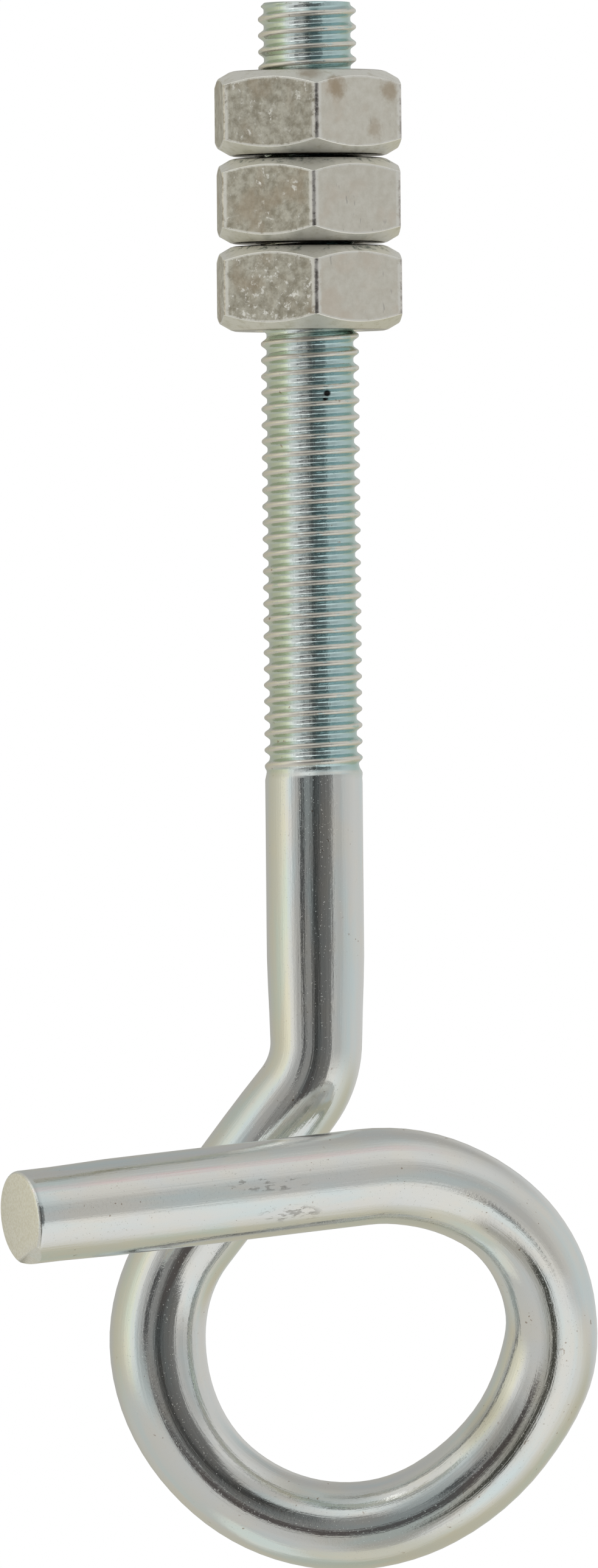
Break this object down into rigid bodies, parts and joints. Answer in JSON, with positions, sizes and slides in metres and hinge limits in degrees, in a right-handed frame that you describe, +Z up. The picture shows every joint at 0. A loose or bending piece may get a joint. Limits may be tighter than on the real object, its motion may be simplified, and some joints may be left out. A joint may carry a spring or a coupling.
{
  "type": "swing hook",
  "caption": "Zinc-plated steel swing hook: a threaded shank with hexagon nuts bends into a pigtail loop and a straight tail, to hang a swing, chain or rope from a beam.",
  "frame": {"origin": "on the shank's axis, in the plane of the bottom nut's underside, the face that bears on the beam", "axes": "+Z up the shank towards its threaded end, +X to the right of the loop, +Y to the back, away from the tail"},
  "size_m": [0.0578, 0.0441, 0.1537],
  "materials": {
    "bright_zinc": "bright zinc plate on drawn steel rod",
    "dull_zinc": "dull barrel zinc plate, slightly stained"
  },
  "bodies": {
    "hook": {"hook_rod": "bright_zinc"},
    "nut_top": {"top_nut": "dull_zinc"},
    "nut_middle": {"middle_nut": "dull_zinc"},
    "nut_bottom": {"bottom_nut": "dull_zinc"}
  },
  "joints": [
    {"name": "top_nut_spin", "type": "hinge", "parent": "hook", "child": "nut_top", "pos_m": [0, 0, 0.02115], "axis": [0, 0, 1], "continuous": true},
    {"name": "middle_nut_spin", "type": "hinge", "parent": "hook", "child": "nut_middle", "pos_m": [0, 0, 0.0126], "axis": [0, 0, 1], "continuous": true},
    {"name": "bottom_nut_spin", "type": "hinge", "parent": "hook", "child": "nut_bottom", "pos_m": [0, 0, 0.00405], "axis": [0, 0, 1], "continuous": true}
  ]
}
